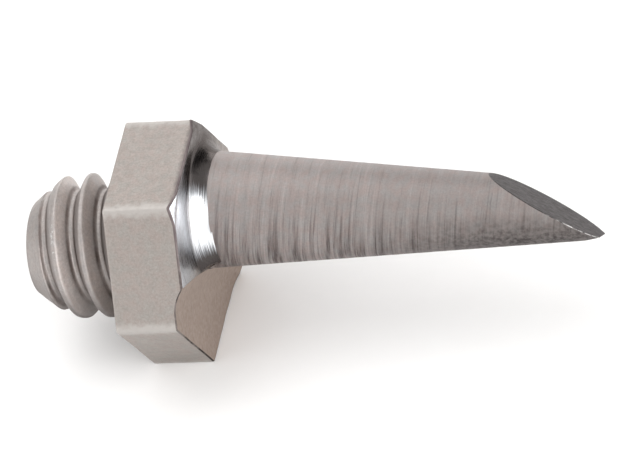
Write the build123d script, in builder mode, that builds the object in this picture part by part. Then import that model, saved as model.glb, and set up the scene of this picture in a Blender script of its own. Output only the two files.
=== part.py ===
from build123d import *
import os
from math import cos, radians, sin, tan

# Screw-in ice spike: a threaded stud, a hexagonal base, a tapered pin and the braze that
# joins the pin to the base.
#
# Millimetres. +X runs along the thread axis, from the stud towards the point. +Z is up and
# one flat of the hexagon faces it. The origin is the centre of the hexagon's seating face.

# Threaded stud, 1/4-20 UNC, right hand
THREAD_MAJOR_D = 6.35
THREAD_ROOT_D = 4.9
THREAD_PITCH = 1.27
GROOVE_START = -5.02
GROOVE_END = 0.9
GROOVE_OVERSHOOT = 0.1
ROOT_FLAT = 0.20
CREST_FLAT = 0.20
STUD_LENGTH = 4.6
STUD_END_D = 4.04
STUD_CHAMFER = 1.53
SHANK_D = 4.8
SHANK_END_X = 1.6

# Hexagonal base
ACROSS_FLATS = 9.525
CORE_FACE_X = 3.19
EDGE_RADIUS = 0.12
CORNER_CHAMFER_D = 10.2
CORNER_CHAMFER_ANGLE = 30.0
MOUTH_D = 6.5
RELIEF_FLOOR_X = 2.78
RELIEF_TANGENT = 2.388
RELIEF_RIDGE = 1.10
RELIEF_ANGLE = 34.0
RELIEF_SHIFT = 2.0
RELIEF_SWEEP_R = 32.0

# Braze layer and the concave fillet round the foot of the pin
BRAZE_FACE_X = 3.25
BRAZE_FILLET_R = 0.85
COLLAR_CORE_HEIGHT = 3.0

# Tapered pin. It is set off from the thread axis towards one side, leans back from that side,
# and its tip facet faces nearly that side, turned a little round the pin towards -Y.
PIN_SIDE_ANGLE = 38.0
PIN_OFFSET = 1.39
PIN_LEAN = 2.5
PIN_FOOT_D = 5.18
PIN_HALF_TAPER = 4.32
PIN_LENGTH = 19.0
SPIGOT_D = 3.2
SPIGOT_DEPTH = 1.15
FACET_TURN = 2.3
FACET_HEEL = 12.84
FACET_SLOPE = 29.0
BEVEL_HEEL = 16.9
BEVEL_SLOPE = 14.0

# How far a cut or a blank runs on past what it shapes
OVERRUN = 1.0
FAR = 20.0


def radial(angle):
    """Unit vector square to X, turned by angle from +Z towards +Y."""
    return Vector(0, sin(radians(angle)), cos(radians(angle)))


# The pin's axis, the direction square to it on the side that the pin is set off to, and the
# point where the axis meets the braze face.
lean = radians(PIN_LEAN)
side_direction = radial(PIN_SIDE_ANGLE)
pin_axis = Vector(cos(lean), 0, 0) - side_direction * sin(lean)
pin_side = Vector(sin(lean), 0, 0) + side_direction * cos(lean)
pin_foot = Vector(BRAZE_FACE_X, 0, 0) + side_direction * PIN_OFFSET
pin_profile_plane = Plane(origin=pin_foot, x_dir=pin_side, z_dir=pin_side.cross(pin_axis))
pin_revolve_axis = Axis(pin_foot, pin_axis)

# The direction square to the pin's axis that its facet faces.
facet_turn = radians(FACET_TURN)
facet_side = pin_side * cos(facet_turn) + pin_axis.cross(pin_side) * sin(facet_turn)

# Plane of the relief's section: x runs along the thread axis, y towards the pin's side. The
# relief is swept round a distant axis on the cut side, so that its ridge curves slightly.
relief_direction = radial(RELIEF_ANGLE)
relief_normal = Vector(1, 0, 0).cross(relief_direction)
relief_middle = relief_normal * RELIEF_SHIFT
relief_plane = Plane(origin=relief_middle, x_dir=(1, 0, 0), z_dir=relief_normal)
relief_centre = relief_middle - relief_direction * (RELIEF_SWEEP_R + RELIEF_RIDGE)
relief_axis = Axis(relief_centre, (1, 0, 0))


def pin_radius(height):
    """Radius of the pin at a height above the braze face, measured along the pin."""
    return PIN_FOOT_D / 2 - height * tan(radians(PIN_HALF_TAPER))


def pin_point(radius, height):
    """A point of the pin's section, in the coordinates of pin_profile_plane."""
    return pin_profile_plane.to_local_coords(pin_foot + pin_side * radius + pin_axis * height)


def add_hexagon(face_x):
    """Hexagonal block from the seating face to face_x, its front corners turned off."""
    chamfer_r = CORNER_CHAMFER_D / 2
    fall = (ACROSS_FLATS - chamfer_r) * tan(radians(CORNER_CHAMFER_ANGLE))
    with BuildSketch(Plane.YZ) as outline:
        RegularPolygon(ACROSS_FLATS / 2, 6, major_radius=False)
        fillet(outline.vertices(), EDGE_RADIUS)
    extrude(outline.sketch, amount=face_x)
    with BuildSketch(Plane.XY) as envelope:
        with BuildLine():
            Polyline(
                (-OVERRUN, 0),
                (-OVERRUN, ACROSS_FLATS),
                (face_x - fall, ACROSS_FLATS),
                (face_x, chamfer_r),
                (face_x, 0),
                close=True,
            )
        make_face()
    revolve(envelope.sketch, axis=Axis.X, mode=Mode.INTERSECT)


def cut_relief():
    """Scallop off one side of the front: a flat floor that curves up to a ridge."""
    with BuildSketch(relief_plane) as scallop:
        with BuildLine():
            Line((RELIEF_FLOOR_X, -FAR), (RELIEF_FLOOR_X, -RELIEF_TANGENT))
            TangentArc(
                (RELIEF_FLOOR_X, -RELIEF_TANGENT),
                (BRAZE_FACE_X, -RELIEF_RIDGE),
                tangent=(0, 1),
            )
            Polyline(
                (BRAZE_FACE_X, -RELIEF_RIDGE),
                (FAR, -RELIEF_RIDGE),
                (FAR, -FAR),
                (RELIEF_FLOOR_X, -FAR),
            )
        make_face()
    revolve(scallop.sketch, axis=relief_axis, mode=Mode.SUBTRACT)


def turn_pin_cone(low, high, mode=Mode.ADD):
    """Tapered body of the pin between two heights."""
    with BuildSketch(pin_profile_plane) as section:
        with BuildLine():
            Polyline(
                pin_point(0, low),
                pin_point(pin_radius(low), low),
                pin_point(pin_radius(high), high),
                pin_point(0, high),
                close=True,
            )
        make_face()
    revolve(section.sketch, axis=pin_revolve_axis, mode=mode)


def turn_spigot(mode=Mode.ADD):
    """Straight spigot under the pin, or the socket that it fits."""
    foot = CORE_FACE_X - BRAZE_FACE_X
    with BuildSketch(pin_profile_plane) as section:
        with BuildLine():
            Polyline(
                pin_point(0, foot - SPIGOT_DEPTH),
                pin_point(SPIGOT_D / 2, foot - SPIGOT_DEPTH),
                pin_point(SPIGOT_D / 2, foot + EDGE_RADIUS),
                pin_point(0, foot + EDGE_RADIUS),
                close=True,
            )
        make_face()
    revolve(section.sketch, axis=pin_revolve_axis, mode=mode)


def grinding_plane(side, heel, slope):
    """Plane that leaves the pin's surface on one side at the heel's height, sloping inwards."""
    start = pin_foot + pin_axis * heel + side * pin_radius(heel)
    normal = side * cos(radians(slope)) + pin_axis * sin(radians(slope))
    return Plane(origin=start, z_dir=normal)


# The stud: chamfered end, full thread up to the seating face, a cone that fills the mouth of
# the base's bore, and a plain shank. The thread groove is one helical cut.
with BuildPart() as threaded_stud:
    with BuildSketch(Plane.XY):
        with BuildLine():
            Polyline(
                (-STUD_LENGTH, 0),
                (-STUD_LENGTH, STUD_END_D / 2),
                (-STUD_LENGTH + STUD_CHAMFER, THREAD_MAJOR_D / 2),
                ((MOUTH_D - THREAD_MAJOR_D) / 2, THREAD_MAJOR_D / 2),
                ((MOUTH_D - SHANK_D) / 2, SHANK_D / 2),
                (SHANK_END_X, SHANK_D / 2),
                (SHANK_END_X, 0),
                close=True,
            )
        make_face()
    revolve(axis=Axis.X)

    thread_depth = (THREAD_MAJOR_D - THREAD_ROOT_D) / 2
    groove_depth = thread_depth + GROOVE_OVERSHOOT
    half_root = ROOT_FLAT / 2
    half_mouth = (THREAD_PITCH - CREST_FLAT) / 2
    half_top = half_root + (half_mouth - half_root) * groove_depth / thread_depth
    with BuildLine():
        helix = Helix(
            pitch=THREAD_PITCH,
            height=GROOVE_END - GROOVE_START,
            radius=THREAD_ROOT_D / 2,
            center=(GROOVE_START, 0, 0),
            direction=(1, 0, 0),
        )
    start = helix @ 0
    outward = Vector(0, start.Y, start.Z).normalized()
    groove_plane = Plane(origin=start, x_dir=(1, 0, 0), z_dir=Vector(1, 0, 0).cross(outward))
    with BuildSketch(groove_plane):
        Polygon(
            (-half_root, 0),
            (half_root, 0),
            (half_top, groove_depth),
            (-half_top, groove_depth),
            align=None,
        )
    sweep(path=helix, is_frenet=True, mode=Mode.SUBTRACT)


# The base without its holes, used again to shape the braze.
with BuildPart() as base_blank:
    add_hexagon(CORE_FACE_X)
    cut_relief()

with BuildPart() as hex_base:
    add(base_blank.part)
    with BuildSketch(Plane.XY):
        with BuildLine():
            Polyline(
                (0, 0),
                (0, MOUTH_D / 2),
                ((MOUTH_D - SHANK_D) / 2, SHANK_D / 2),
                (SHANK_END_X, SHANK_D / 2),
                (SHANK_END_X, 0),
                close=True,
            )
        make_face()
    revolve(axis=Axis.X, mode=Mode.SUBTRACT)
    turn_spigot(mode=Mode.SUBTRACT)

# The pin: a cone standing on the base's front face, with a spigot below, one long flat facet
# ground across its end and a short bevel that backs off the tip from the other side.
with BuildPart() as spike_pin:
    turn_pin_cone(-OVERRUN, PIN_LENGTH)
    split(bisect_by=Plane(origin=(CORE_FACE_X, 0, 0), z_dir=(1, 0, 0)), keep=Keep.TOP)
    split(bisect_by=grinding_plane(facet_side, FACET_HEEL, FACET_SLOPE), keep=Keep.BOTTOM)
    split(bisect_by=grinding_plane(facet_side * -1, BEVEL_HEEL, BEVEL_SLOPE), keep=Keep.BOTTOM)
    turn_spigot()

# The braze: a thin layer over the turned part of the face, rising in a concave fillet to the
# pin, and ending at the relief's ridge.
with BuildPart() as braze_fillet:
    add_hexagon(BRAZE_FACE_X)
    turn_pin_cone(-OVERRUN, COLLAR_CORE_HEIGHT)
    fillet(edges().filter_by(GeomType.ELLIPSE), BRAZE_FILLET_R)
    cut_relief()
    add(base_blank.part, mode=Mode.SUBTRACT)
    turn_pin_cone(-OVERRUN, COLLAR_CORE_HEIGHT + OVERRUN, mode=Mode.SUBTRACT)


threaded_stud.part.label = "threaded_stud"
hex_base.part.label = "hex_base"
spike_pin.part.label = "spike_pin"
braze_fillet.part.label = "braze_fillet"

os.makedirs("parts", exist_ok=True)
for piece in (threaded_stud, hex_base, spike_pin, braze_fillet):
    export_step(piece.part, f"parts/{piece.part.label}.step")
    print(piece.part.label, len(piece.part.solids()), round(piece.part.volume, 3))
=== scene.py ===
from math import cos, pi, radians, sin, sqrt, tan

import bmesh
import bpy
import numpy as np
from mathutils import Matrix, Vector


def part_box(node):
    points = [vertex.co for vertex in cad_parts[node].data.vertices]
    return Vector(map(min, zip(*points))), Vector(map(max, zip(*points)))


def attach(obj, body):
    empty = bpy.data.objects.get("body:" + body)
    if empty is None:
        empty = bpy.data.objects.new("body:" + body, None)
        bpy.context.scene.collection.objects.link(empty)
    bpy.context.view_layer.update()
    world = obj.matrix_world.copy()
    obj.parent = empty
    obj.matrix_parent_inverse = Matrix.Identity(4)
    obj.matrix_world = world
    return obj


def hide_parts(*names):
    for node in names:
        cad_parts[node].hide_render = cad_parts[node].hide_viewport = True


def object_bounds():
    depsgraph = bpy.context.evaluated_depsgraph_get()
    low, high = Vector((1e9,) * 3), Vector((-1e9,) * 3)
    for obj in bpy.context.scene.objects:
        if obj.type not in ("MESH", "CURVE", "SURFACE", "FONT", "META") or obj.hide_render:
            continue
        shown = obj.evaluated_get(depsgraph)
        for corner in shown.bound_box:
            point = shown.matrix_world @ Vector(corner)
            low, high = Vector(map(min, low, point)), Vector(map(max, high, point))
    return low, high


# The looks of the screw-in ice spike: a rolled stud, a tumbled hexagonal base, a bright collar
# of braze and a turned pin with a dark ground facet. The shapes are worked out in millimetres
# in the CAD frame and become metres when each mesh is made.
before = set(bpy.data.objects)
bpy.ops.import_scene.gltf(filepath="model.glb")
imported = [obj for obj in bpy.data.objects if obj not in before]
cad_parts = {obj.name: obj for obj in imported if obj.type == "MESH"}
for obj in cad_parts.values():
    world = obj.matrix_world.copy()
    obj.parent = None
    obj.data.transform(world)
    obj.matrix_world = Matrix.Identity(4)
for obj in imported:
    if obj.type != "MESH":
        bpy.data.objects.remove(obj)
cad_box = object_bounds()

MM = 0.001
X_AXIS = np.array([1.0, 0.0, 0.0])

# A distance beyond everything, for a line that misses what it is aimed at.
MISSED = 99.0

stud_low, stud_high = (np.array(corner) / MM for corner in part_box("threaded_stud"))
base_high = np.array(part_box("hex_base")[1]) / MM

# Stud: a quarter inch thread with 20 turns to the inch.
THREAD_R = stud_high[2]
ROOT_R = 2.45
THREAD_PITCH = 1.27
GROOVE_X = -5.02
ROOT_FLAT = 0.20
CREST_FLAT = 0.20
STUD_END_X = stud_low[0]
STUD_END_R = 2.02
STUD_CHAMFER = 1.53
STUD_END_WEAR = 0.14
STUD_HIDDEN_X = 0.45
CREST_ROUNDING = 0.14
ROOT_ROUNDING = 0.16
CHAMFER_ROUNDING = 0.12

# Base: a hexagon across the thread axis, its front corners turned off and one side scalloped.
FLAT_R = base_high[2]
CORE_X = base_high[0]
CORNER_R = 0.20
BACK_WEAR = 0.10
FRONT_WEAR = 0.055
CHAMFER_R = 5.1
CHAMFER_SLOPE = tan(radians(30))
MOUTH_R = 3.25
MOUTH_DEPTH = 0.6
DENT_DEPTH = 0.008
RELIEF_FLOOR_X = 2.78
RELIEF_TANGENT = 2.388
RELIEF_RIDGE = 1.10
RELIEF_ARC_R = 2.0
RELIEF_ANGLE = radians(34)
RELIEF_SHIFT = 2.0
RELIEF_SWEEP_R = 32.0

# Braze: a thin film over the front, drawn up round the pin in a concave collar.
FILM_X = CORE_X + 0.06
COLLAR_R = 0.85
COLLAR_START = radians(36)
COLLAR_END = pi / 2 - 0.02
COLLAR_SLENDERNESS = 1.7
TOE_SHARE = 0.22
TOE_ROOM = 0.3
FILM_WEAR = 0.05

# How far a hidden edge is sunk into the metal beside it, how far a shown one overlaps it, and
# how far the braze goes on inside, under the pin and under its own lip.
SUNK = 0.03
OVERLAP = 0.004
HIDDEN_REACH = 0.3

# Pin: a cone set off from the thread axis, leaning back a little, with a ground tip.
SIDE_ANGLE = radians(38)
PIN_OFFSET = 1.39
PIN_LEAN = radians(2.5)
PIN_FOOT_R = 2.59
PIN_TAPER = tan(radians(4.32))
FACET_TURN = radians(2.3)
FACET_HEEL = 12.84
FACET_SLOPE = radians(29)
BEVEL_HEEL = 16.9
BEVEL_SLOPE = radians(14)
EDGE_WEAR = 0.05
TOOL_WAVE = 0.0012
TOOL_WAVE_LIMIT = 0.004

# Directions square to the thread axis: the pin's shaded lower side, where painted shade goes, and
# the side on which the collar gets its painted highlight. The pin's tool lines are tilted from
# square across it.
PAINTED_SHADE_SIDE = (0.0, -0.70, -0.71)
PAINTED_HIGHLIGHT_SIDE = (0.0, -0.857, 0.515)
LINE_TILT = (0.0, 0.045, -0.180)


def radial(angle):
    """Unit vector square to X, turned by angle from +Z towards +Y."""
    return np.array([0.0, sin(angle), cos(angle)])


side_direction = radial(SIDE_ANGLE)
pin_axis = cos(PIN_LEAN) * X_AXIS - sin(PIN_LEAN) * side_direction
pin_side = sin(PIN_LEAN) * X_AXIS + cos(PIN_LEAN) * side_direction
facet_side = cos(FACET_TURN) * pin_side + sin(FACET_TURN) * np.cross(pin_axis, pin_side)
facet_across = np.cross(pin_axis, facet_side)
pin_foot = FILM_X * X_AXIS + PIN_OFFSET * side_direction
relief_direction = radial(RELIEF_ANGLE)
relief_along = np.cross(X_AXIS, relief_direction)
relief_centre = RELIEF_SHIFT * relief_along - (RELIEF_SWEEP_R + RELIEF_RIDGE) * relief_direction


# ---------------------------------------------------------------- shapes


def soft_min(a, b, reach):
    """The lower of two surfaces, with the crease between them rounded over a short reach."""
    overlap = np.maximum(reach - np.abs(a - b), 0.0)
    return np.minimum(a, b) - overlap**2 / (4 * reach)


def soft_max(a, b, reach):
    """The higher of two surfaces, with the crease between them rounded over a short reach."""
    return -soft_min(-a, -b, reach)


def ripple(points, wavelength, height, seed, waves=14):
    """Smooth unevenness at each point: a sum of plane waves in seeded random directions."""
    rng = np.random.default_rng(seed)
    directions = rng.normal(size=(waves, 3))
    directions /= np.linalg.norm(directions, axis=1)[:, None]
    lengths = wavelength * rng.uniform(0.7, 1.7, waves)
    phases = rng.uniform(0, 2 * pi, waves)
    turns = points @ (2 * pi * directions / lengths[:, None]).T + phases
    return height * np.sin(turns).sum(axis=-1) / sqrt(waves)


def skin(name, rings, node, materials, face_material=None, joined=False):
    """A closed piece through rings of points, capped at both ends or joined end to end.

    face_material gives the material's index for the quads after each ring.
    """
    rings = np.asarray(rings, float)
    count, around = rings.shape[:2]
    index = np.arange(count * around).reshape(count, around)
    after = np.roll(index, -1, axis=1)
    if joined:
        upper, upper_after = np.roll(index, -1, axis=0), np.roll(after, -1, axis=0)
    else:
        upper, upper_after = index[1:], after[1:]
        index, after = index[:-1], after[:-1]
    faces = np.stack([index, after, upper_after, upper], axis=-1).reshape(-1, 4).tolist()
    bands = np.repeat(np.arange(len(index)), around).tolist()
    points = rings.reshape(-1, 3).tolist()
    if not joined:
        for ring, band in ((0, 0), (count - 1, count - 2)):
            points.append(rings[ring].mean(axis=0).tolist())
            first = ring * around
            for step in range(around):
                following = first + (step + 1) % around
                faces.append((len(points) - 1, first + step, following))
                bands.append(band)

    mesh = bpy.data.meshes.new(name)
    mesh.from_pydata((np.array(points) * MM).tolist(), [], faces)
    for material in materials:
        mesh.materials.append(material)
    if face_material is not None:
        mesh.polygons.foreach_set("material_index", [face_material[band] for band in bands])
    shape = bmesh.new()
    shape.from_mesh(mesh)
    bmesh.ops.recalc_face_normals(shape, faces=shape.faces)
    shape.to_mesh(mesh)
    shape.free()
    mesh.shade_smooth()
    mesh.set_sharp_from_angle(angle=radians(38))
    piece = bpy.data.objects.new(name, mesh)
    bpy.context.scene.collection.objects.link(piece)
    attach(piece, "root")
    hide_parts(node)
    return piece


def polar(x, radius, turn):
    """Points at a place along X, a radius and a turn from +Y towards +Z."""
    x, radius, turn = np.broadcast_arrays(x, radius, turn)
    return np.stack([x, radius * np.cos(turn), radius * np.sin(turn)], axis=-1)


def bent(start, corner, end, share):
    """Points part of the way along a curve from the start to the end, pulled to the corner."""
    return (1 - share) ** 2 * start + 2 * share * (1 - share) * corner + share**2 * end


def build_stud(materials):
    """Rolled thread: soft crests and roots, a chamfered end, worn a little unevenly."""
    turn = np.linspace(0, 2 * pi, 220, endpoint=False)
    x = np.linspace(STUD_END_X + STUD_END_WEAR, STUD_HIDDEN_X, 236)[:, None]
    place = (x - GROOVE_X) / THREAD_PITCH - (turn - pi / 2) / (2 * pi)
    from_groove = np.abs(place - np.round(place)) * THREAD_PITCH
    half_root = ROOT_FLAT / 2
    half_mouth = (THREAD_PITCH - CREST_FLAT) / 2
    rise = (from_groove - half_root) / (half_mouth - half_root)
    rise = soft_max(soft_min(rise, 1.0, CREST_ROUNDING), 0.0, ROOT_ROUNDING)
    thread = ROOT_R + (THREAD_R - ROOT_R) * rise
    slope = (THREAD_R - STUD_END_R) / STUD_CHAMFER
    chamfer = STUD_END_R + (x - STUD_END_X) * slope
    radius = soft_min(thread, chamfer, CHAMFER_ROUNDING)
    mouth = MOUTH_R - SUNK - np.maximum(x, 0)
    radius = np.where(x > 0, np.minimum(radius, mouth), radius)
    body = polar(x, radius, turn)
    wear = ripple(body, 0.9, 0.008, 11) + ripple(body, 0.3, 0.004, 12)
    radius = np.minimum(radius + wear - 0.006, THREAD_R)
    rings = list(polar(x, radius, turn))

    corner = polar(STUD_END_X, STUD_END_R, turn)
    inner = polar(STUD_END_X, STUD_END_R - STUD_END_WEAR, turn)
    middle = inner.mean(axis=0)
    face = [middle + share * (inner - middle) for share in (0.3, 0.6, 0.9)]
    worn = [bent(inner, corner, rings[0], share) for share in np.linspace(0, 1, 7)[:-1]]
    return skin("rolled_stud", face + worn + rings, "threaded_stud", materials)


def smooth_step(value, low, high):
    """0 below low, 1 above high, and an easy curve between them."""
    share = np.clip((value - low) / (high - low), 0.0, 1.0)
    return share * share * (3 - 2 * share)


def hexagon_outline(flat_r, corner_r, along=90, corner_steps=8):
    """Points round a hexagon with rounded corners in (y, z), and the outward normal at each."""
    points, normals = [], []
    centre_r = (flat_r - corner_r) / cos(radians(30))
    for side in range(6):
        middle = radians(60 * side)
        corner = middle + radians(30)
        centre = centre_r * np.array([sin(corner), cos(corner)])
        for angle in np.linspace(middle, middle + radians(60), corner_steps):
            normals.append(np.array([sin(angle), cos(angle)]))
            points.append(centre + corner_r * normals[-1])
        next_normal = normals[-1]
        next_corner = corner + radians(60)
        next_centre = centre_r * np.array([sin(next_corner), cos(next_corner)])
        start, end = points[-1], next_centre + corner_r * next_normal
        for share in np.linspace(0, 1, along + 2)[1:-1]:
            points.append(start + share * (end - start))
            normals.append(next_normal)
    return np.array(points), np.array(normals)


def relief_across(flat_points):
    """Distance of points (y, z) across the relief: -RELIEF_RIDGE on its ridge, less inside it."""
    away = np.linalg.norm(flat_points - relief_centre[1:], axis=-1)
    return away - RELIEF_SWEEP_R - RELIEF_RIDGE


def to_relief(origin, directions, circle_r):
    """Distance from an origin (y, z) to a circle of the relief's sweep, or MISSED."""
    to_centre = relief_centre[1:] - origin
    along = directions @ to_centre
    inside = along**2 - (to_centre @ to_centre - circle_r**2)
    distance = along - np.sqrt(np.maximum(inside, 0))
    return np.where((inside > 0) & (distance > 0), distance, MISSED)


def relief_depth(across):
    """Where the scallop leaves the metal, by the distance across it."""
    inside = np.clip(across + RELIEF_TANGENT, 0, RELIEF_ARC_R * 0.999)
    arc = RELIEF_FLOOR_X + RELIEF_ARC_R - np.sqrt(RELIEF_ARC_R**2 - inside**2)
    return np.where(across < -RELIEF_TANGENT, RELIEF_FLOOR_X, arc)


def front_face(flat_points):
    """Height in X of the base's front at points (y, z): core, scallop and turned corners."""
    radius = np.linalg.norm(flat_points, axis=-1)
    turned = CORE_X - (radius - CHAMFER_R) * CHAMFER_SLOPE
    return soft_min(soft_min(CORE_X, turned, 0.02), relief_depth(relief_across(flat_points)), 0.03)


def build_base(materials):
    """Tumbled hexagon: worn edges, a scalloped front and a countersunk mouth for the stud."""
    outline, normals = hexagon_outline(FLAT_R, CORNER_R)
    rings = []

    def ring(flat_points, x):
        x = np.broadcast_to(x, len(flat_points))[:, None]
        rings.append(np.concatenate([x, flat_points], axis=1))

    rim = outline - normals * FRONT_WEAR
    rim_r = np.linalg.norm(rim, axis=1)
    along = rim / rim_r[:, None]
    ridge = to_relief(np.zeros(2), along, RELIEF_SWEEP_R)
    tangent = to_relief(np.zeros(2), along, RELIEF_SWEEP_R + RELIEF_RIDGE - RELIEF_TANGENT)
    ridge = np.clip(ridge, 0, rim_r * 0.93)
    tangent = np.clip(tangent, ridge + rim_r * 0.02, rim_r * 0.97)
    for start, end, steps in ((0 * rim_r, ridge, 8), (ridge, tangent, 22), (tangent, rim_r, 26)):
        for share in np.linspace(0, 1, steps + 1)[1:]:
            flat_points = along * (start + share * (end - start))[:, None]
            ring(flat_points, front_face(flat_points))
    rim_x = front_face(rim)
    front_rings = len(rings)
    for angle in np.linspace(0, pi / 2, 7)[1:]:
        ring(rim + normals * FRONT_WEAR * sin(angle), rim_x - FRONT_WEAR * (1 - cos(angle)))
    edge_rings = len(rings)
    for share in np.linspace(0, 1, 22)[1:-1]:
        ring(outline, (rim_x - FRONT_WEAR) * (1 - share) + BACK_WEAR * share)
    for angle in np.linspace(0, pi / 2, 7):
        ring(outline - normals * BACK_WEAR * (1 - cos(angle)), BACK_WEAR * (1 - sin(angle)))
    back = outline - normals * BACK_WEAR
    mouth = MOUTH_R * outline / np.linalg.norm(outline, axis=1)[:, None]
    for share in np.linspace(0, 1, 12)[1:]:
        ring(back + share * (mouth - back), 0.0)
    for share in np.linspace(0, 1, 5)[1:]:
        ring(mouth * (1 - share * MOUTH_DEPTH / MOUTH_R), share * MOUTH_DEPTH)

    rings = np.array(rings)
    radius = np.linalg.norm(rings[..., 1:], axis=-1)
    exposed = smooth_step(radius, MOUTH_R, MOUTH_R + 0.6)
    dents = ripple(rings, 2.6, 0.007, 21) + ripple(rings, 0.8, 0.0035, 22)
    outward = rings.copy()
    outward[..., 0] = 0
    outward /= np.maximum(radius, 0.01)[..., None]
    rings += outward * (np.minimum(dents - DENT_DEPTH, 0) * exposed)[..., None]
    relieved = smooth_step(-relief_across(rings[..., 1:]), RELIEF_RIDGE, RELIEF_TANGENT)
    floor_wave = ripple(rings, 1.1, 0.006, 23) * relieved * smooth_step(rings[..., 0], 2.0, 2.6)
    rings[..., 0] += floor_wave
    bands = [int(front_rings - 1 <= band < edge_rings - 1) for band in range(len(rings))]
    return skin("tumbled_base", rings, "hex_base", materials, bands)


def pin_radius(height):
    """Radius of the pin at a height above the film, measured along the pin."""
    return PIN_FOOT_R - height * PIN_TAPER


def pin_point(height, radius, turn):
    """Points round the pin's axis; a turn of 0 is the side that the facet faces."""
    height, radius, turn = (a[..., None] for a in np.broadcast_arrays(height, radius, turn))
    outward = np.cos(turn) * facet_side + np.sin(turn) * facet_across
    return pin_foot + height * pin_axis + radius * outward


def cut_height(turn_cosine, heel, slope):
    """Height at which a ground plane meets the cone, by the cosine of the turn from its side."""
    rise = heel * sin(slope) + pin_radius(heel) * cos(slope) - PIN_FOOT_R * turn_cosine * cos(slope)
    return rise / (sin(slope) - PIN_TAPER * turn_cosine * cos(slope))


def tip_height(sideways):
    """Height of the ground tip at a distance from the pin's axis towards the facet's side."""
    facet = FACET_HEEL - (sideways - pin_radius(FACET_HEEL)) / tan(FACET_SLOPE)
    bevel = BEVEL_HEEL + (sideways + pin_radius(BEVEL_HEEL)) / tan(BEVEL_SLOPE)
    return soft_min(facet, bevel, 0.04)


def chisel_sideways():
    """Distance, towards the facet's side, from the pin's axis to where facet and bevel meet."""
    facet_run, bevel_run = 1 / tan(FACET_SLOPE), 1 / tan(BEVEL_SLOPE)
    facet_top = FACET_HEEL + pin_radius(FACET_HEEL) * facet_run
    bevel_top = BEVEL_HEEL + pin_radius(BEVEL_HEEL) * bevel_run
    return (facet_top - bevel_top) / (facet_run + bevel_run)


def build_pin(materials):
    """Turned cone from under the collar to the ground tip, its cut edge slightly worn."""
    around = 240
    turn = np.linspace(0, 2 * pi, around, endpoint=False)
    sunk = CORE_X - 0.04
    outward_x = np.cos(turn) * facet_side[0] + np.sin(turn) * facet_across[0]
    bottom = (sunk - FILM_X - PIN_FOOT_R * outward_x) / pin_axis[0]
    edge = np.minimum(
        cut_height(np.cos(turn), FACET_HEEL, FACET_SLOPE),
        cut_height(-np.cos(turn), BEVEL_HEEL, BEVEL_SLOPE),
    )
    edge_r = pin_radius(edge)
    shoulder = FACET_HEEL - 0.6
    rings = []
    for share in np.linspace(0, 1, 160):
        height = bottom + share * (shoulder - bottom)
        rings.append(pin_point(height, pin_radius(height), turn))
    for share in np.linspace(0, 1, 60)[1:]:
        height = shoulder + share * (edge - EDGE_WEAR - shoulder)
        rings.append(pin_point(height, pin_radius(height), turn))
    cone_rings = len(rings)
    before = pin_point(edge - EDGE_WEAR, pin_radius(edge - EDGE_WEAR), turn)
    corner = pin_point(edge, edge_r, turn)
    inner_r = edge_r - EDGE_WEAR
    beyond = pin_point(tip_height(inner_r * np.cos(turn)), inner_r, turn)
    for share in np.linspace(0, 1, 6)[1:]:
        rings.append(bent(before, corner, beyond, share))
    edge_rings = len(rings)
    chisel = chisel_sideways()
    cosine = np.minimum(np.cos(turn), -0.05)
    crossing = np.where(np.cos(turn) < -0.05, chisel / cosine, MISSED)
    crossing = np.clip(crossing, 0, inner_r * 0.985)
    for start, end, steps in ((inner_r, crossing, 5), (crossing, crossing * 0, 22)):
        for share in np.linspace(0, 1, steps + 1)[1:]:
            radius = start + share * (end - start)
            if radius.max() > 0:
                rings.append(pin_point(tip_height(radius * np.cos(turn)), radius, turn))

    rings = np.array(rings)
    offset = rings - pin_foot
    height = offset @ pin_axis
    outward = offset - height[..., None] * pin_axis
    radius = np.linalg.norm(outward, axis=-1)
    outward /= np.maximum(radius, 0.01)[..., None]
    on_cone = np.zeros(len(rings))
    on_cone[:cone_rings] = 1
    lathe = sum(
        np.sin(2 * pi * height / length + phase)
        for length, phase in ((0.53, 0.3), (0.71, 2.1), (1.13, 4.0), (0.37, 1.2))
    )
    wave = TOOL_WAVE * lathe * on_cone[:, None] * smooth_step(edge - height, 0.0, 0.5)
    rings += outward * np.minimum(wave, TOOL_WAVE_LIMIT)[..., None]
    bands = [0] * (cone_rings - 1) + [1] * (edge_rings - cone_rings)
    bands += [2] * (len(rings) - edge_rings)
    return skin("turned_pin", rings, "spike_pin", materials, bands)


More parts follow.
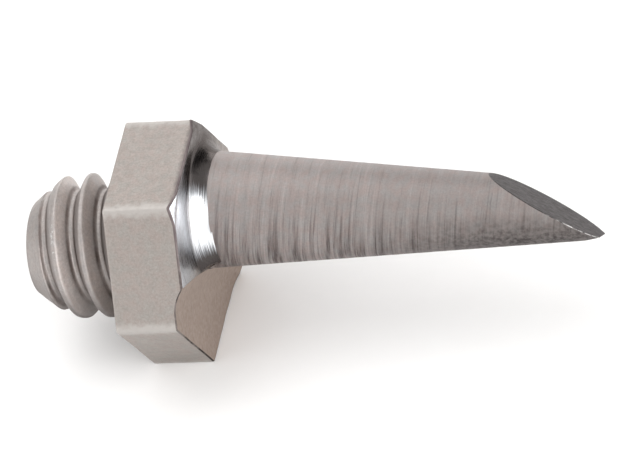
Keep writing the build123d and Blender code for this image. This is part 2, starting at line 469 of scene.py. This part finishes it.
def build_braze(materials):
    """Film and concave collar in one piece: from inside the pin's foot out to the base's edge."""
    around = 720
    turn = np.linspace(0, 2 * pi, around, endpoint=False)
    direction = np.stack([np.cos(turn), np.sin(turn)], axis=-1)
    foot = pin_foot[1:]

    sharpness = 150
    crowd = np.zeros(around)
    for side in range(6):
        normal = radial(radians(60 * side))[1:]
        facing = np.maximum(direction @ normal, 1e-3)
        distance = (FLAT_R - foot @ normal) / facing
        crowd += distance**-sharpness
    to_ridge = to_relief(foot, direction, RELIEF_SWEEP_R)
    crowd += to_ridge**-sharpness
    reach = crowd ** (-1 / sharpness)
    at_ridge = smooth_step(reach / to_ridge, 0.97, 0.995)

    tall = np.clip((reach - PIN_FOOT_R) * COLLAR_SLENDERNESS, 0.012, COLLAR_R)
    sweep = tall / (cos(COLLAR_START) - cos(COLLAR_END))
    wide = sweep * (1 - sin(COLLAR_START))
    rings = []

    def ring(x, radius):
        middle = foot - side_direction[1:] * tan(PIN_LEAN) * (x - FILM_X)[:, None]
        flat_points = middle + direction * radius[:, None]
        rings.append(np.concatenate([x[:, None], flat_points], axis=1))

    top = FILM_X + tall
    cone_top = PIN_FOOT_R - tall * PIN_TAPER
    flat = np.ones(around)
    ring(flat * (CORE_X - SUNK), flat * (PIN_FOOT_R - HIDDEN_REACH))
    ring(flat * FILM_X, flat * (PIN_FOOT_R - 0.28))
    ring(top - 0.02, cone_top - 0.05)
    for angle in np.linspace(COLLAR_END, COLLAR_START, 20)[:-2]:
        rise = sweep * (cos(COLLAR_START) - cos(angle))
        cone = PIN_FOOT_R - rise * PIN_TAPER
        ring(FILM_X + rise, cone + sweep * (1 - sin(angle)) - OVERLAP)
    lip = reach - FILM_WEAR
    toe = np.minimum(TOE_SHARE * wide, TOE_ROOM * (lip - PIN_FOOT_R - wide))
    start = PIN_FOOT_R + wide + toe
    above = PIN_FOOT_R + wide - toe
    for share in np.linspace(0, 1, 7)[1:]:
        rise = toe * tan(COLLAR_START) * (1 - share) ** 2
        ring(FILM_X + rise, above + share * (start - above))
    for share in np.linspace(0, 1, 20)[1:]:
        ring(flat * FILM_X, start + share * (lip - start))
    film_rings = len(rings)
    depth = FILM_X - CORE_X + SUNK
    ridge_inside = RELIEF_TANGENT - RELIEF_RIDGE
    run_out = at_ridge * depth * sqrt(RELIEF_ARC_R**2 - ridge_inside**2) / ridge_inside
    for angle in np.linspace(0, pi / 2, 7)[1:]:
        lowered = FILM_X - FILM_WEAR * (1 - cos(angle)) * flat
        ring(lowered, lip + (FILM_WEAR - OVERLAP) * sin(angle))
    for share in (0.4, 0.7, 1.0):
        lowered = FILM_X - flat * (FILM_WEAR + share * (depth - FILM_WEAR))
        ring(lowered, reach - OVERLAP + run_out * share)
    lip_rings = len(rings)
    ring(flat * (CORE_X - SUNK), lip - HIDDEN_REACH)

    rings = np.array(rings)
    flat_radius = np.linalg.norm(rings[..., 1:], axis=-1)
    drop = np.maximum(flat_radius - CHAMFER_R, 0) * CHAMFER_SLOPE
    rings[..., 0] -= drop
    pool = ripple(rings, 1.9, 0.010, 31) + ripple(rings, 0.7, 0.003, 32)
    shown = np.zeros(len(rings))
    shown[4:film_rings + 5] = 1
    rings[..., 0] += pool * shown[:, None]
    bands = [int(film_rings <= band < lip_rings) for band in range(len(rings))]
    return skin("braze_collar", rings, "braze_fillet", materials, bands, joined=True)


# ---------------------------------------------------------------- materials


class Surface:
    """A Principled material and the few node steps that its pattern needs."""

    def __init__(self, name, **values):
        self.material = bpy.data.materials.new(name)
        self.material.use_nodes = True
        self.tree = self.material.node_tree
        self.shader = self.tree.nodes["Principled BSDF"]
        for socket, value in values.items():
            self.shader.inputs[socket.replace("_", " ")].default_value = value

    def node(self, kind, links=None, values=None, **settings):
        made = self.tree.nodes.new(kind)
        for setting, value in settings.items():
            setattr(made, setting, value)
        for socket, value in (values or {}).items():
            made.inputs[socket].default_value = value
        for socket, source in (links or {}).items():
            self.tree.links.new(source, made.inputs[socket])
        return made

    def millimetres(self, rotation=(0, 0, 0)):
        """Object coordinates in millimetres, turned by a rotation."""
        place = self.node("ShaderNodeTexCoord").outputs["Object"]
        values = {"Rotation": rotation, "Scale": (1 / MM,) * 3}
        return self.node("ShaderNodeMapping", {"Vector": place}, values).outputs["Vector"]

    def stretched(self, vector, scale, shift=(0, 0, 0)):
        values = {"Scale": scale, "Location": shift}
        return self.node("ShaderNodeMapping", {"Vector": vector}, values).outputs["Vector"]

    def noise(self, vector, scale, detail=3.0, roughness=0.55):
        values = {"Scale": scale, "Detail": detail, "Roughness": roughness}
        return self.node("ShaderNodeTexNoise", {"Vector": vector}, values).outputs["Fac"]

    def ramp(self, factor, *stops):
        """Colour or grey by a factor; each stop is a position and a colour or one number."""
        made = self.node("ShaderNodeValToRGB", {"Fac": factor})
        elements = made.color_ramp.elements
        for element, (position, colour) in zip(elements, (stops[0], stops[-1])):
            element.position, element.color = position, rgba(colour)
        for position, colour in stops[1:-1]:
            elements.new(position).color = rgba(colour)
        return made.outputs["Color"]

    def spread(self, value, low, high, to_low=0.0, to_high=1.0):
        values = {"From Min": low, "From Max": high, "To Min": to_low, "To Max": to_high}
        return self.node("ShaderNodeMapRange", {"Value": value}, values).outputs["Result"]

    def maths(self, operation, first, second):
        made = self.node("ShaderNodeMath", operation=operation)
        for socket, value in zip(made.inputs, (first, second)):
            self.feed(socket, value)
        return made.outputs["Value"]

    def mix(self, factor, first, second, blend="MIX"):
        made = self.node("ShaderNodeMix", data_type="RGBA", blend_type=blend)
        colour_inputs = [socket for socket in made.inputs if socket.type == "RGBA"]
        self.feed(made.inputs["Factor"], factor)
        self.feed(colour_inputs[0], first)
        self.feed(colour_inputs[1], second)
        return next(socket for socket in made.outputs if socket.type == "RGBA")

    def times(self, colour, factor):
        return self.mix(1.0, colour, factor, "MULTIPLY")

    def feed(self, socket, value):
        if isinstance(value, bpy.types.NodeSocket):
            self.tree.links.new(value, socket)
        elif socket.type == "RGBA":
            socket.default_value = rgba(value)
        else:
            socket.default_value = value

    def bump(self, height, depth, under=None):
        """Bump from a height of 0 to 1, with its depth in millimetres."""
        links = {"Height": height}
        if under is not None:
            links["Normal"] = under
        return self.node("ShaderNodeBump", links, {"Distance": depth * MM}).outputs["Normal"]

    def vector_maths(self, operation, first, second=None):
        made = self.node("ShaderNodeVectorMath", operation=operation)
        self.feed(made.inputs[0], first)
        if second is not None:
            self.feed(made.inputs[1], second)
        return made.outputs["Value" if operation in ("DOT_PRODUCT", "LENGTH") else "Vector"]

    def part(self, place, direction):
        """How far a place is in one direction."""
        return self.vector_maths("DOT_PRODUCT", place, direction)

    def from_axis(self, place, point, axis):
        """Distance of a place from a line through a point."""
        offset = self.vector_maths("SUBTRACT", place, point)
        return self.vector_maths("LENGTH", self.vector_maths("CROSS_PRODUCT", offset, axis))

    def facing(self, direction):
        """How far the surface faces a direction, from -1 to 1."""
        normal = self.node("ShaderNodeTexCoord").outputs["Normal"]
        return self.part(normal, direction)

    def finish(self, colour=None, roughness=None, normal=None):
        sockets = (("Base Color", colour), ("Roughness", roughness), ("Normal", normal))
        for socket, source in sockets:
            if source is not None:
                self.tree.links.new(source, self.shader.inputs[socket])
        return self.material


def rgba(colour):
    """A colour, or a grey from one number, with full opacity."""
    if isinstance(colour, (int, float)):
        return (colour, colour, colour, 1.0)
    return (*colour, 1.0)


def mottled(surface, place, tints):
    """Two tints drifting into each other over about half a millimetre."""
    drift = surface.noise(place, 2.3, detail=4.0)
    return surface.ramp(drift, (0.36, tints[0]), (0.64, tints[1]))


def make_base_steel():
    """Matte tumbled steel, rubbed lighter at its corners, heat-tinted on its front."""
    steel = Surface("base_steel", Metallic=1.0)
    place = steel.millimetres()
    body = mottled(steel, place, ((0.375, 0.33, 0.307), (0.36, 0.337, 0.316)))
    speckle = steel.noise(place, 11.0, detail=5.0, roughness=0.7)
    body = steel.times(body, steel.ramp(speckle, (0.32, 0.86), (0.68, 1.10)))
    blotch = steel.noise(place, 3.4, detail=5.0, roughness=0.6)
    radius = steel.from_axis(place, (0, 0, 0), X_AXIS)
    worn = steel.maths("ADD", radius, steel.spread(blotch, 0.3, 0.7, -0.06, 0.06))
    corner = steel.spread(worn, 5.28, 5.42)
    body = steel.mix(corner, body, (0.47, 0.445, 0.425))
    front = steel.spread(steel.facing((1, 0, 0)), 0.45, 0.85)
    heat = steel.noise(place, 5.0, detail=5.0)
    heated = steel.ramp(heat, (0.3, (0.335, 0.265, 0.225)), (0.7, (0.43, 0.355, 0.31)))
    body = steel.mix(front, body, heated)
    uneven = steel.spread(blotch, 0.3, 0.7, -0.05, 0.05)
    along = steel.maths("ADD", steel.part(place, X_AXIS), uneven)
    scale = steel.maths("MULTIPLY", steel.spread(along, CORE_X - 0.24, CORE_X - 0.08), 0.45)
    upper = steel.spread(steel.facing((0, 0, 1)), 0.55, 0.9)
    body = steel.mix(steel.maths("MULTIPLY", scale, upper), body, (0.10, 0.075, 0.08))
    rough = steel.spread(steel.noise(place, 3.1, detail=4.0), 0.3, 0.7, 0.50, 0.64)
    pits = steel.bump(steel.noise(place, 7.5, detail=6.0, roughness=0.65), 0.012)
    waves = steel.bump(steel.noise(place, 1.3, detail=2.0), 0.03, pits)
    return steel.finish(body, rough, waves)


def make_seam_oxide():
    """Dark scale caught along the front edge of the base and the lip of the braze."""
    scale = Surface("seam_oxide", Metallic=1.0)
    place = scale.millimetres()
    patches = scale.noise(place, 1.3, detail=5.0, roughness=0.6)
    body = scale.ramp(patches, (0.40, (0.045, 0.034, 0.032)), (0.66, (0.26, 0.23, 0.215)))
    upper = scale.spread(scale.part(place, (0, 0, 1)), 1.2, 3.4, 0.0, 0.75)
    body = scale.mix(upper, body, (0.21, 0.175, 0.178))
    rough = scale.spread(patches, 0.4, 0.6, 0.62, 0.48)
    return scale.finish(body, rough, scale.bump(scale.noise(place, 12.0, detail=4.0), 0.01))


def groove_distance(surface, place):
    """Distance along X, in millimetres, from the middle of the thread's groove."""
    sideways = surface.part(place, (0, 1, 0))
    turn = surface.maths("ARCTAN2", surface.part(place, (0, 0, 1)), sideways)
    turns = surface.maths("DIVIDE", surface.maths("SUBTRACT", turn, pi / 2), 2 * pi)
    along = surface.maths("SUBTRACT", surface.part(place, X_AXIS), GROOVE_X)
    groove = surface.maths("SUBTRACT", surface.maths("DIVIDE", along, THREAD_PITCH), turns)
    return surface.maths("MULTIPLY", surface.maths("PINGPONG", groove, 0.5), THREAD_PITCH)


def make_stud_steel():
    """Dull plated steel: grime and painted shade along both sides of the groove, painted light and
    shade on the flanks by where they face, painted shade underneath, and a few worn crest flecks
    that are painted glints on the lit side.
    """
    steel = Surface("stud_steel", Metallic=1.0)
    place = steel.millimetres()
    body = mottled(steel, place, ((0.43, 0.39, 0.372), (0.415, 0.39, 0.38)))
    radius = steel.from_axis(place, (0, 0, 0), X_AXIS)
    crest = steel.spread(radius, ROOT_R + 0.1, THREAD_R - 0.05)
    # Grime and painted shade: dark bands along both sides of the groove, where the flanks meet the
    # root, laid on in patches by caught below.
    crease_grime_and_shade = steel.ramp(
        groove_distance(steel, place),
        (0.07, 0.97),
        (0.135, (0.46, 0.42, 0.41)),
        (0.185, (0.36, 0.33, 0.32)),
        (0.235, 0.90),
        (0.40, 1.04),
    )
    # Painted light and shade: flanks facing the tip are lightened and flanks facing the end are
    # darkened, more strongly on the first turn.
    threaded = steel.spread(steel.part(place, X_AXIS), STUD_END_X + 2.0, STUD_END_X + 2.7)
    flank = steel.spread(steel.facing((1, 0, 0)), -0.9, 0.9)
    painted_end_flank_shading = steel.ramp(flank, (0.05, 0.84), (0.5, 0.94), (0.8, 1.35), (0.95, 1.75))
    painted_flank_shading = steel.ramp(flank, (0.05, 0.78), (0.5, 0.92), (0.8, 1.15), (0.95, 1.38))
    body = steel.times(body, steel.mix(threaded, painted_end_flank_shading, painted_flank_shading))
    caught = steel.spread(steel.noise(place, 0.7, detail=2.0), 0.36, 0.60, 0.45, 1.0)
    body = steel.mix(caught, body, steel.times(body, crease_grime_and_shade))
    speckle = steel.noise(place, 9.0, detail=5.0, roughness=0.7)
    body = steel.times(body, steel.ramp(speckle, (0.3, 0.84), (0.7, 1.12)))
    # Painted shade: darker where the surface faces down.
    painted_underside_shade = steel.spread(steel.facing((0, -0.25, -0.97)), 0.0, 0.6)
    body = steel.mix(painted_underside_shade, body, (0.195, 0.174, 0.167))
    # Bright flecks on the crests, kept near the end and to the side that faces the light: worn
    # spots shown as painted glints.
    flecks = steel.spread(steel.noise(place, 4.5, detail=3.0), 0.56, 0.66)
    worn_flecks_and_painted_glint = steel.maths("MULTIPLY", flecks, steel.spread(crest, 0.8, 0.95))
    lit_end = steel.spread(steel.part(place, X_AXIS), -1.9, -2.3)
    lit_side = steel.spread(steel.facing((-0.2, -0.80, 0.56)), 0.80, 0.93)
    worn_flecks_and_painted_glint = steel.maths("MULTIPLY", worn_flecks_and_painted_glint, steel.maths("MULTIPLY", lit_end, lit_side))
    body = steel.mix(worn_flecks_and_painted_glint, body, (0.60, 0.595, 0.59))
    drawn = steel.noise(steel.stretched(place, (7.0, 0.6, 0.6)), 1.0, detail=4.0)
    rough = steel.spread(drawn, 0.3, 0.7, 0.50, 0.62)
    lines = steel.bump(drawn, 0.014)
    grain = steel.bump(steel.noise(place, 8.0, detail=5.0), 0.008, lines)
    return steel.finish(body, rough, grain)


def turned_place(surface, tilt):
    """Coordinates in millimetres whose X runs along the pin, but for a small tilt."""
    tilted = (Vector(pin_axis) + Vector(tilt)).normalized()
    rotation = tilted.rotation_difference(Vector((1, 0, 0))).to_euler()
    return surface.millimetres(rotation)


def make_pin_steel():
    """Satin steel with uneven tool lines, with painted shade on the low side: darker lines there,
    and a darker mottled patch near the tip.
    """
    steel = Surface("pin_steel", Metallic=1.0)
    place = turned_place(steel, LINE_TILT)
    fine = steel.noise(steel.stretched(place, (9.0, 0.30, 0.30)), 1.0, detail=5.0, roughness=0.7)
    broad = steel.noise(steel.stretched(place, (2.6, 0.20, 0.20), (40, 0, 0)), 1.0, detail=3.0)
    fine_part = steel.maths("MULTIPLY", fine, 0.75)
    lines = steel.maths("ADD", fine_part, steel.maths("MULTIPLY", broad, 0.25))
    body = mottled(steel, place, ((0.362, 0.312, 0.298), (0.352, 0.330, 0.322)))
    # Painted shade: the tool lines darker and stronger on the shaded lower side.
    low = steel.spread(steel.facing(PAINTED_SHADE_SIDE), 0.05, 0.85)
    soft_lines = steel.ramp(lines, (0.39, 0.74), (0.46, 0.94), (0.55, 1.0), (0.62, 1.14))
    painted_shade_deepest = (0.40, (0.34, 0.30, 0.30))
    painted_shade_lines = steel.ramp(lines, painted_shade_deepest, (0.50, 0.80), (0.56, 0.98), (0.62, 1.15))
    body = steel.times(body, steel.mix(low, soft_lines, painted_shade_lines))
    speckle = steel.noise(place, 12.0, detail=4.0, roughness=0.7)
    body = steel.times(body, steel.ramp(speckle, (0.3, 0.90), (0.7, 1.08)))
    reach = steel.part(steel.millimetres(), X_AXIS)
    fading = steel.ramp(steel.spread(reach, 3.0, 18.0), (0.0, 1.0), (0.5, 0.86), (1.0, 0.80))
    body = steel.times(body, fading)
    # Painted shade: a darker, mottled patch on the shaded lower side towards the tip.
    painted_shade_near_tip = steel.maths("MULTIPLY", steel.spread(reach, 10.0, 17.0), low)
    spots = steel.noise(place, 5.0, detail=5.0)
    painted_shading = steel.ramp(spots, (0.36, (0.075, 0.066, 0.064)), (0.64, (0.19, 0.172, 0.166)))
    body = steel.mix(painted_shade_near_tip, body, painted_shading)
    rough = steel.spread(fine, 0.3, 0.7, 0.50, 0.64)
    cut = steel.bump(fine, 0.004)
    grain = steel.bump(steel.noise(place, 9.0, detail=4.0), 0.003, cut)
    return steel.finish(body, rough, grain)


def make_ground_steel():
    """The dark, finely scratched facet."""
    steel = Surface("ground_steel", Metallic=1.0)
    place = steel.millimetres()
    speckle = steel.noise(place, 10.0, detail=6.0, roughness=0.75)
    body = steel.ramp(speckle, (0.3, (0.060, 0.052, 0.053)), (0.7, (0.122, 0.109, 0.110)))
    scratches = steel.noise(steel.stretched(place, (0.6, 6.0, 6.0)), 1.0, detail=5.0)
    rough = steel.spread(scratches, 0.3, 0.7, 0.42, 0.62)
    return steel.finish(body, rough, steel.bump(scratches, 0.010))


def make_edge_steel():
    """The facet's rim: dull at its heel, with a painted glint in patches towards the point."""
    steel = Surface("edge_steel", Metallic=1.0)
    place = steel.millimetres()
    worn = steel.noise(place, 6.0, detail=4.0)
    dull = steel.ramp(worn, (0.35, (0.05, 0.045, 0.044)), (0.65, (0.10, 0.093, 0.092)))
    painted_glint_tint = steel.ramp(worn, (0.35, (0.42, 0.40, 0.39)), (0.6, (0.88, 0.87, 0.86)))
    # Painted glint: the rim pale in patches towards the point.
    glint = steel.spread(steel.part(place, X_AXIS), 18.7, 19.8)
    patches = steel.spread(steel.noise(place, 2.6, detail=3.0), 0.40, 0.50)
    body = steel.mix(steel.maths("MULTIPLY", glint, patches), dull, painted_glint_tint)
    rough = steel.spread(worn, 0.3, 0.7, 0.55, 0.4)
    return steel.finish(body, rough, steel.bump(worn, 0.006))


def make_braze_metal():
    """Painted highlight round the pin's front, painted dark reflection beside it, and a duller film
    over the face: darker towards the top, lightened below with painted light, and pale towards the
    bright side as painted reflection.
    """
    metal = Surface("braze_metal", Metallic=1.0, Specular_Tint=rgba((0.66, 0.64, 0.63)))
    place = metal.millimetres()
    out = metal.from_axis(place, pin_foot, pin_axis)
    offset = metal.vector_maths("SUBTRACT", place, pin_foot)
    sideways = metal.vector_maths("MULTIPLY", offset, (0, 1, 1))
    around = metal.part(metal.vector_maths("NORMALIZE", sideways), PAINTED_HIGHLIGHT_SIDE)
    height = metal.part(place, X_AXIS)
    wrapped = metal.node("ShaderNodeCombineXYZ", {"X": out, "Y": height, "Z": around})
    wrapped = wrapped.outputs["Vector"]
    streaks = metal.stretched(wrapped, (20.0, 20.0, 2.6))
    streaks = metal.noise(streaks, 1.0, detail=5.0, roughness=0.65)
    drift = metal.maths("ADD", around, metal.spread(streaks, 0.3, 0.7, -0.07, 0.07))
    # Painted reflections on the collar: white on its bright side, dark beside it, lighter again on
    # the far side.
    painted_shading = metal.ramp(
        metal.spread(drift, -1.0, 1.0),
        (0.10, (0.46, 0.455, 0.45)),
        (0.20, (0.24, 0.225, 0.22)),
        (0.34, (0.085, 0.074, 0.071)),
        (0.905, (0.095, 0.086, 0.084)),
        (0.94, (0.30, 0.31, 0.33)),
        (0.97, (0.90, 0.92, 0.95)),
    )
    haze = metal.noise(place, 3.0, detail=5.0)
    # The film is darker towards the top; its lower part is lightened as painted light.
    upper_film = metal.ramp(haze, (0.34, (0.135, 0.120, 0.117)), (0.66, (0.23, 0.22, 0.217)))
    lower_film_painted_light = metal.ramp(haze, (0.34, (0.36, 0.32, 0.30)), (0.66, (0.50, 0.47, 0.45)))
    upper = metal.spread(metal.part(place, (0, 0, 1)), 0.6, 3.4)
    film = metal.mix(upper, lower_film_painted_light, upper_film)
    # Painted reflection: the film turns pale towards the bright side.
    film = metal.mix(metal.spread(drift, 0.76, 0.93), film, (0.60, 0.62, 0.65))
    on_film = metal.spread(out, PIN_FOOT_R + 0.50 * COLLAR_R, PIN_FOOT_R + 1.05 * COLLAR_R)
    body = metal.mix(on_film, painted_shading, film)
    # Painted highlight: the turned outer part of the film pale on the bright side.
    radius = metal.from_axis(place, (0, 0, 0), X_AXIS)
    turned = metal.spread(radius, CHAMFER_R - 0.72, CHAMFER_R - 0.25)
    painted_chamfer_highlight = metal.maths("MULTIPLY", turned, metal.spread(drift, 0.62, 0.85))
    body = metal.mix(painted_chamfer_highlight, body, (0.86, 0.89, 0.94))
    rough = metal.spread(streaks, 0.3, 0.7, 0.18, 0.34)
    drawn = metal.bump(streaks, 0.006)
    pooled = metal.bump(metal.noise(place, 1.6, detail=2.0), 0.02, drawn)
    return metal.finish(body, rough, pooled)


def make_floor_paper():
    paper = Surface("floor_paper", Roughness=0.9)
    place = paper.millimetres()
    grain = paper.noise(place, 0.8, detail=4.0)
    body = paper.ramp(grain, (0.3, 0.925), (0.7, 0.935))
    return paper.finish(body)


def make_flag_cloth():
    cloth = Surface("flag_cloth", Roughness=0.95)
    weave = cloth.noise(cloth.millimetres(), 0.6, detail=3.0)
    return cloth.finish(cloth.ramp(weave, (0.3, 0.015), (0.7, 0.03)))


# ---------------------------------------------------------------- camera, floor and light

CAMERA_AZIMUTH = radians(22.742)
CAMERA_ELEVATION = radians(42.183)
CAMERA_ROLL = radians(-18.043)
CAMERA_LENS = 600.0
CAMERA_SENSOR = 36.0
FIELD_WIDTH = 27.57
AIM_RIGHT = 7.67
AIM_UP = 0.308

# Half the floor's width, in metres.
FLOOR_HALF = 1.5


def camera_axes():
    """The camera's right, up and back directions."""
    azimuth, elevation, roll = CAMERA_AZIMUTH, CAMERA_ELEVATION, CAMERA_ROLL
    back = Vector((sin(azimuth) * cos(elevation), -cos(azimuth) * cos(elevation), sin(elevation)))
    level = Vector((cos(azimuth), sin(azimuth), 0))
    rise = back.cross(level)
    right = level * cos(roll) + rise * sin(roll)
    return right, back.cross(right), back


def add_camera():
    right, up, back = camera_axes()
    aim = right * AIM_RIGHT + up * AIM_UP
    distance = FIELD_WIDTH * CAMERA_LENS / CAMERA_SENSOR
    data = bpy.data.cameras.new("camera")
    data.lens = CAMERA_LENS
    data.sensor_width = CAMERA_SENSOR
    data.clip_start = 0.01
    data.clip_end = 10.0
    camera = bpy.data.objects.new("camera", data)
    turned = Matrix((right, up, back)).transposed().to_4x4()
    camera.matrix_world = Matrix.Translation((aim + back * distance) * MM) @ turned
    bpy.context.scene.collection.objects.link(camera)
    bpy.context.scene.camera = camera


def square_card(name, half, level, material):
    """A level square of one face, half its width to each side of the origin, at a height."""
    mesh = bpy.data.meshes.new(name)
    sides = ((-half, -half), (half, -half), (half, half), (-half, half))
    mesh.from_pydata([(*side, level) for side in sides], [], [(0, 1, 2, 3)])
    mesh.materials.append(material)
    return mesh


def add_floor(material):
    """Pale paper under the object's lowest flat."""
    paper = square_card("floor", FLOOR_HALF, cad_box[0].z, material)
    floor = bpy.data.objects.new("floor", paper)
    bpy.context.scene.collection.objects.link(floor)


def aimed(name, data, direction, distance):
    """An object at a distance in a direction from the object's middle, facing it."""
    middle = (cad_box[0] + cad_box[1]) / 2
    made = bpy.data.objects.new(name, data)
    away = Vector(direction).normalized()
    made.location = middle + away * distance
    made.rotation_euler = away.to_track_quat("Z", "Y").to_euler()
    bpy.context.scene.collection.objects.link(made)
    made.visible_camera = False
    return made


def add_softbox(name, direction, distance, width, height, brightness):
    """A rectangular light; brightness is its radiance, on the scale where white is 1."""
    data = bpy.data.lights.new(name, "AREA")
    data.shape = "RECTANGLE"
    data.size = width
    data.size_y = height
    data.energy = brightness * pi * width * height
    aimed(name, data, direction, distance)


def add_flag(direction, distance, size, material):
    """A dark card, out of the camera's sight, for the bright metal to reflect."""
    mesh = square_card("flag", size / 2, 0, material)
    aimed("flag", mesh, direction, distance)


def light_studio():
    world = bpy.data.worlds.new("studio")
    bpy.context.scene.world = world
    world.use_nodes = True
    background = world.node_tree.nodes["Background"]
    background.inputs["Color"].default_value = (1.0, 0.985, 0.97, 1.0)
    background.inputs["Strength"].default_value = 0.80
    add_softbox("key_light", (-0.35, 0.25, 0.90), 0.45, 0.46, 0.40, 1.45)
    add_softbox("front_light", (0.72, -0.59, 0.36), 0.40, 0.50, 0.42, 2.1)
    add_softbox("left_light", (-0.80, -0.52, 0.30), 0.45, 0.34, 0.30, 1.4)
    add_softbox("back_light", (-0.28, 0.94, 0.14), 0.40, 0.40, 0.20, 1.8)
    add_softbox("side_light", (0.94, 0.33, 0.06), 0.40, 0.16, 0.12, 2.2)
    add_flag((0.50, 0.85, 0.16), 0.14, 0.12, make_flag_cloth())
    bpy.context.scene.view_settings.view_transform = "Standard"


seam_oxide = make_seam_oxide()
build_stud([make_stud_steel()])
build_base([make_base_steel(), seam_oxide])
build_braze([make_braze_metal(), seam_oxide])
build_pin([make_pin_steel(), make_edge_steel(), make_ground_steel()])
add_camera()
add_floor(make_floor_paper())
light_studio()

bpy.context.view_layer.update()
